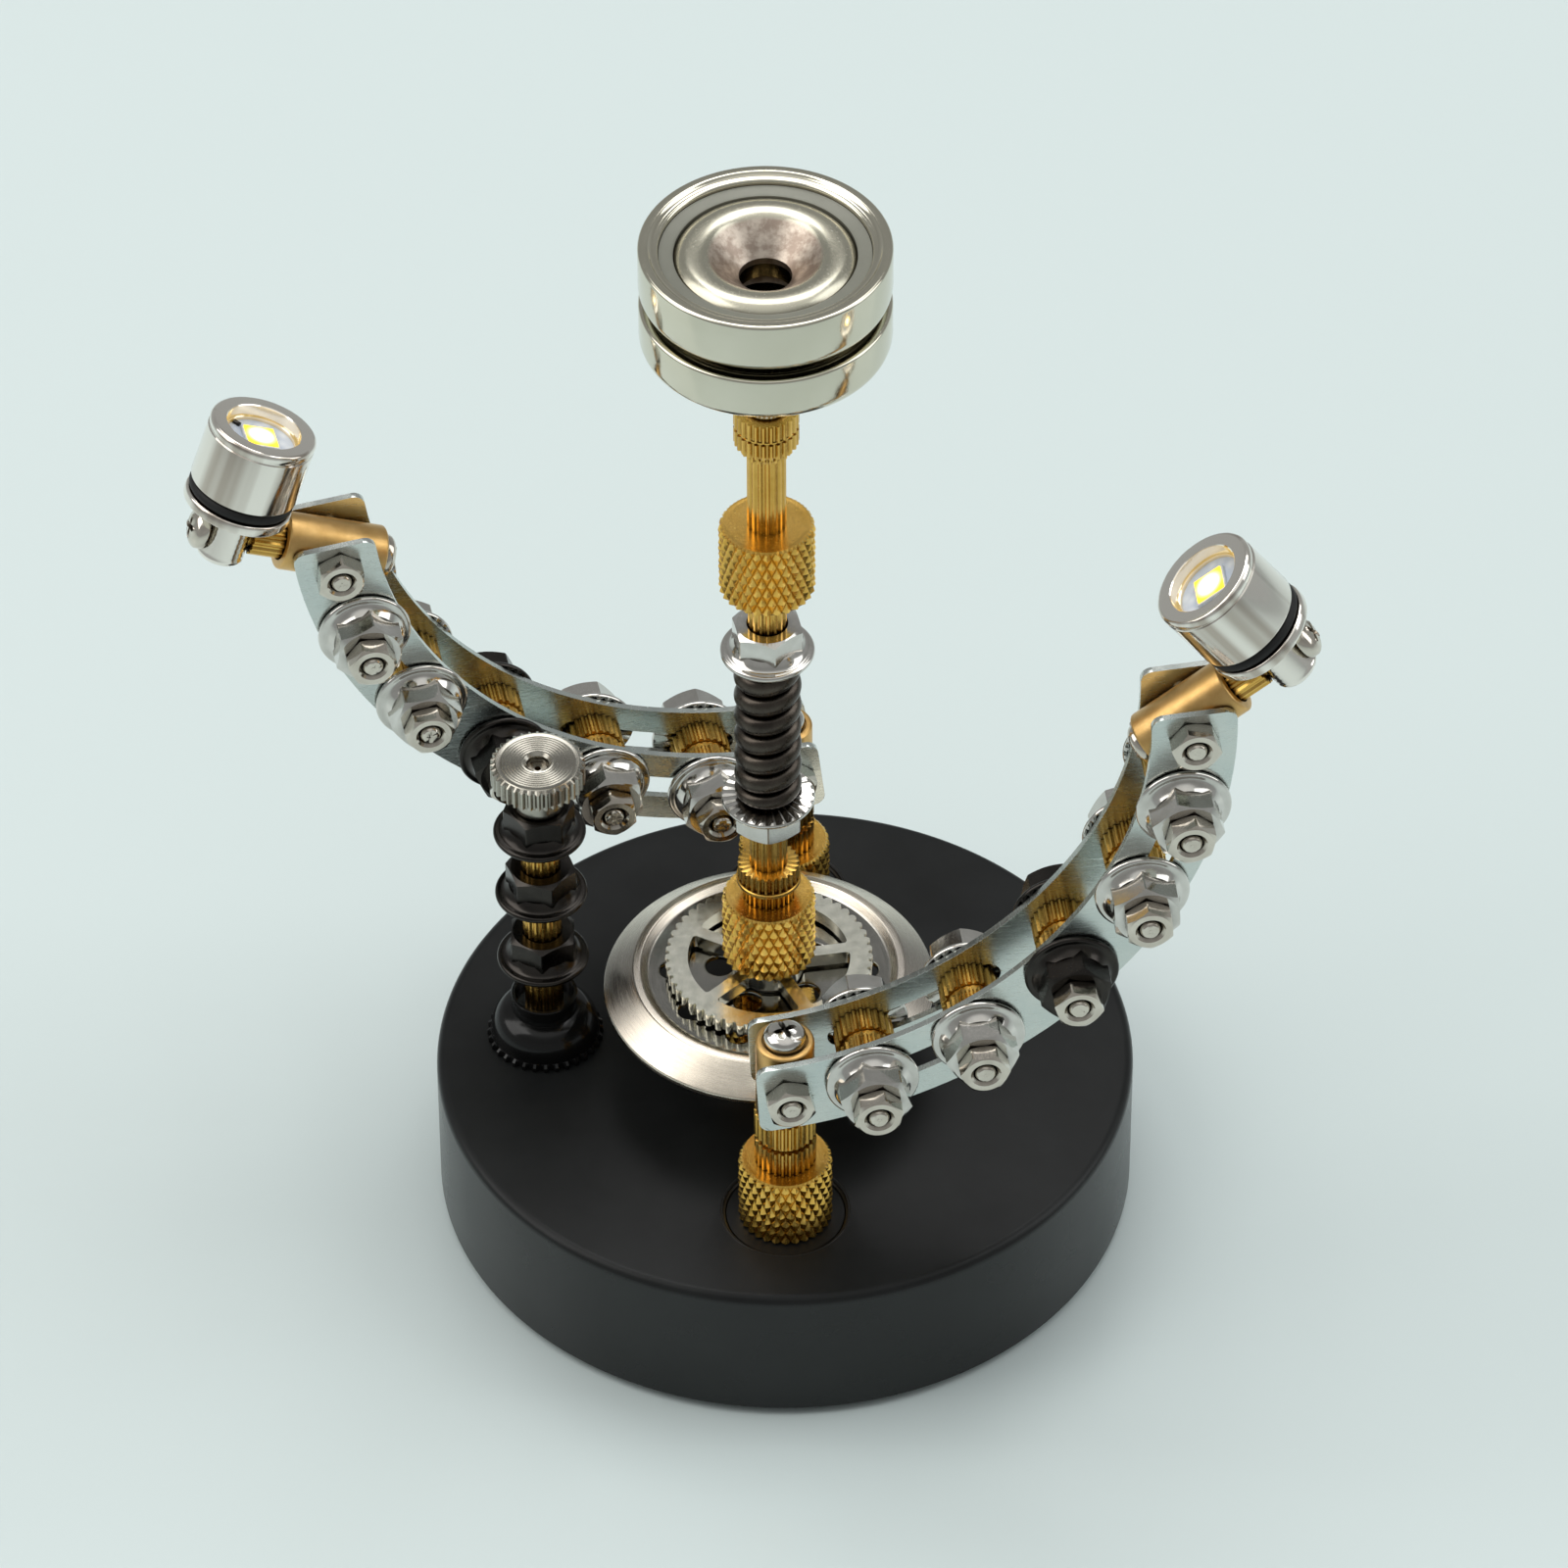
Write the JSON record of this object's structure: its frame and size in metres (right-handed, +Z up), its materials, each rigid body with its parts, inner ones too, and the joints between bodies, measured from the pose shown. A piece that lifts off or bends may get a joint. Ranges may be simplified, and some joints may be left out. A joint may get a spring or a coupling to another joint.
{
  "type": "magnetic display stand with lamp arms",
  "caption": "Free-standing round metal stand with a magnetic column top and two jointed arms that each carry a small lamp.",
  "frame": {"origin": "centre of the underside of the round base", "axes": "+Z up along the column, -Y towards the front arm's post"},
  "size_m": [0.1392, 0.09, 0.1555],
  "materials": {
    "black_paint": "satin black powder coat",
    "black_gloss": "glossy black",
    "black_oxide": "black oxide, satin",
    "rubber": "matt black rubber",
    "steel": "plain turned steel",
    "brushed_steel": "circular brushed, polished floor",
    "galvanised_steel": "mottled galvanised",
    "spring_steel": "blued dark bronze spring steel, satin",
    "zinc_plate": "pale bluish zinc plate",
    "brass": "bright turned brass with knurling",
    "nickel": "polished warm nickel plate",
    "magnet_nickel": "polished nickel plated magnet",
    "chrome": "polished chrome",
    "potting_resin": "grey resin",
    "board_white": "white circuit board",
    "led_glow": "warm white glowing diode"
  },
  "bodies": {
    "stand": {"base_cover": "black_paint", "ballast_weight": "steel", "base_plate": "black_paint", "foot_pad": "rubber", "base_screws": "nickel", "inside_nuts": "steel", "column_rod": "brass", "knurled_nuts": "brass", "splined_inserts": "brass", "post_studs": "brass", "dish": "brushed_steel", "gear_washer": "steel", "column_flange_nuts": "chrome", "spring": "spring_steel", "magnet_boss": "nickel", "lower_magnet_cup": "nickel", "lower_ring_magnet": "magnet_nickel", "magnet_screw": "brass", "knob_post_dome": "black_gloss", "knob_post_nuts": "black_oxide", "knob_post_spacers": "brass"},
    "gear": {"gear": "galvanised_steel"},
    "knob": {"knob": "nickel"},
    "display_magnet": {"display_magnet_cup": "nickel", "display_ring_magnet": "magnet_nickel", "magnet_potting": "potting_resin"},
    "right_turret": {"right_base_barrel": "brass", "right_barrel_screw": "nickel"},
    "right_arm": {"right_arm_plates": "zinc_plate", "right_arm_spacers": "brass", "right_arm_flange_nuts": "chrome", "right_arm_black_nuts": "black_oxide", "right_arm_hex_nuts": "nickel", "right_arm_bolts": "nickel"},
    "right_bracket": {"right_elbow_barrel": "brass", "right_lamp_pin": "brass", "right_bracket_screws": "nickel"},
    "right_lamp": {"right_lamp_cap": "nickel", "right_lamp_o_ring": "rubber"},
    "right_head": {"right_lamp_head": "nickel", "right_led_board": "board_white", "right_led_chip": "led_glow", "right_lamp_cells": "steel"},
    "left_turret": {"left_base_barrel": "brass", "left_barrel_screw": "nickel"},
    "left_arm": {"left_arm_plates": "zinc_plate", "left_arm_spacers": "brass", "left_arm_flange_nuts": "chrome", "left_arm_black_nuts": "black_oxide", "left_arm_hex_nuts": "nickel", "left_arm_bolts": "nickel"},
    "left_bracket": {"left_elbow_barrel": "brass", "left_lamp_pin": "brass", "left_bracket_screws": "nickel"},
    "left_lamp": {"left_lamp_cap": "nickel", "left_lamp_o_ring": "rubber"},
    "left_head": {"left_lamp_head": "nickel", "left_led_board": "board_white", "left_led_chip": "led_glow", "left_lamp_cells": "steel"}
  },
  "joints": [
    {"name": "gear_spin", "type": "hinge", "parent": "stand", "child": "gear", "pos_m": [-0.002, 0, 0.0366], "axis": [0, 0, 1], "continuous": true},
    {"name": "knob_turn", "type": "hinge", "parent": "stand", "child": "knob", "pos_m": [-0.031, 0.003, 0.0674], "axis": [0, 0, 1], "continuous": true},
    {"name": "display_magnet_spin", "type": "hinge", "parent": "stand", "child": "display_magnet", "pos_m": [-0.002, 0, 0.148], "axis": [0, 0, 1], "continuous": true},
    {"name": "right_arm_swing", "type": "hinge", "parent": "stand", "child": "right_turret", "pos_m": [0, -0.029, 0.039], "axis": [0, 0, 1], "range_deg": [-110, 30]},
    {"name": "right_arm_tilt", "type": "hinge", "parent": "right_turret", "child": "right_arm", "pos_m": [0, -0.029, 0.0458], "axis": [0.1201, -0.9928, 0], "range_deg": [-15, 25]},
    {"name": "right_lamp_tilt", "type": "hinge", "parent": "right_arm", "child": "right_bracket", "pos_m": [0.04901, -0.02307, 0.10082], "axis": [0.1201, -0.9928, 0], "range_deg": [-45, 1]},
    {"name": "right_lamp_roll", "type": "hinge", "parent": "right_bracket", "child": "right_lamp", "pos_m": [0.05996, -0.02174, 0.1096], "axis": [0.7769, 0.094, 0.6225], "range_deg": [-75, 75]},
    {"name": "right_head_twist", "type": "hinge", "parent": "right_lamp", "child": "right_head", "pos_m": [0.05373, -0.02197, 0.11741], "axis": [-0.6234, -0.0227, 0.7815], "range_deg": [0, 90]},
    {"name": "left_arm_swing", "type": "hinge", "parent": "stand", "child": "left_turret", "pos_m": [0, 0.029, 0.039], "axis": [0, 0, 1], "range_deg": [-110, 1]},
    {"name": "left_arm_tilt", "type": "hinge", "parent": "left_turret", "child": "left_arm", "pos_m": [0, 0.029, 0.0458], "axis": [-0.1994, 0.9799, 0], "range_deg": [-20, 20]},
    {"name": "left_lamp_tilt", "type": "hinge", "parent": "left_arm", "child": "left_bracket", "pos_m": [-0.05637, 0.01753, 0.09222], "axis": [-0.1994, 0.9799, 0], "range_deg": [-40, 9]},
    {"name": "left_lamp_roll", "type": "hinge", "parent": "left_bracket", "child": "left_lamp", "pos_m": [-0.06927, 0.01491, 0.09727], "axis": [-0.9148, -0.1861, 0.3584], "range_deg": [-75, 75]},
    {"name": "left_head_twist", "type": "hinge", "parent": "left_lamp", "child": "left_head", "pos_m": [-0.066, 0.01669, 0.10655], "axis": [0.3272, 0.1785, 0.9279], "range_deg": [0, 90]}
  ]
}
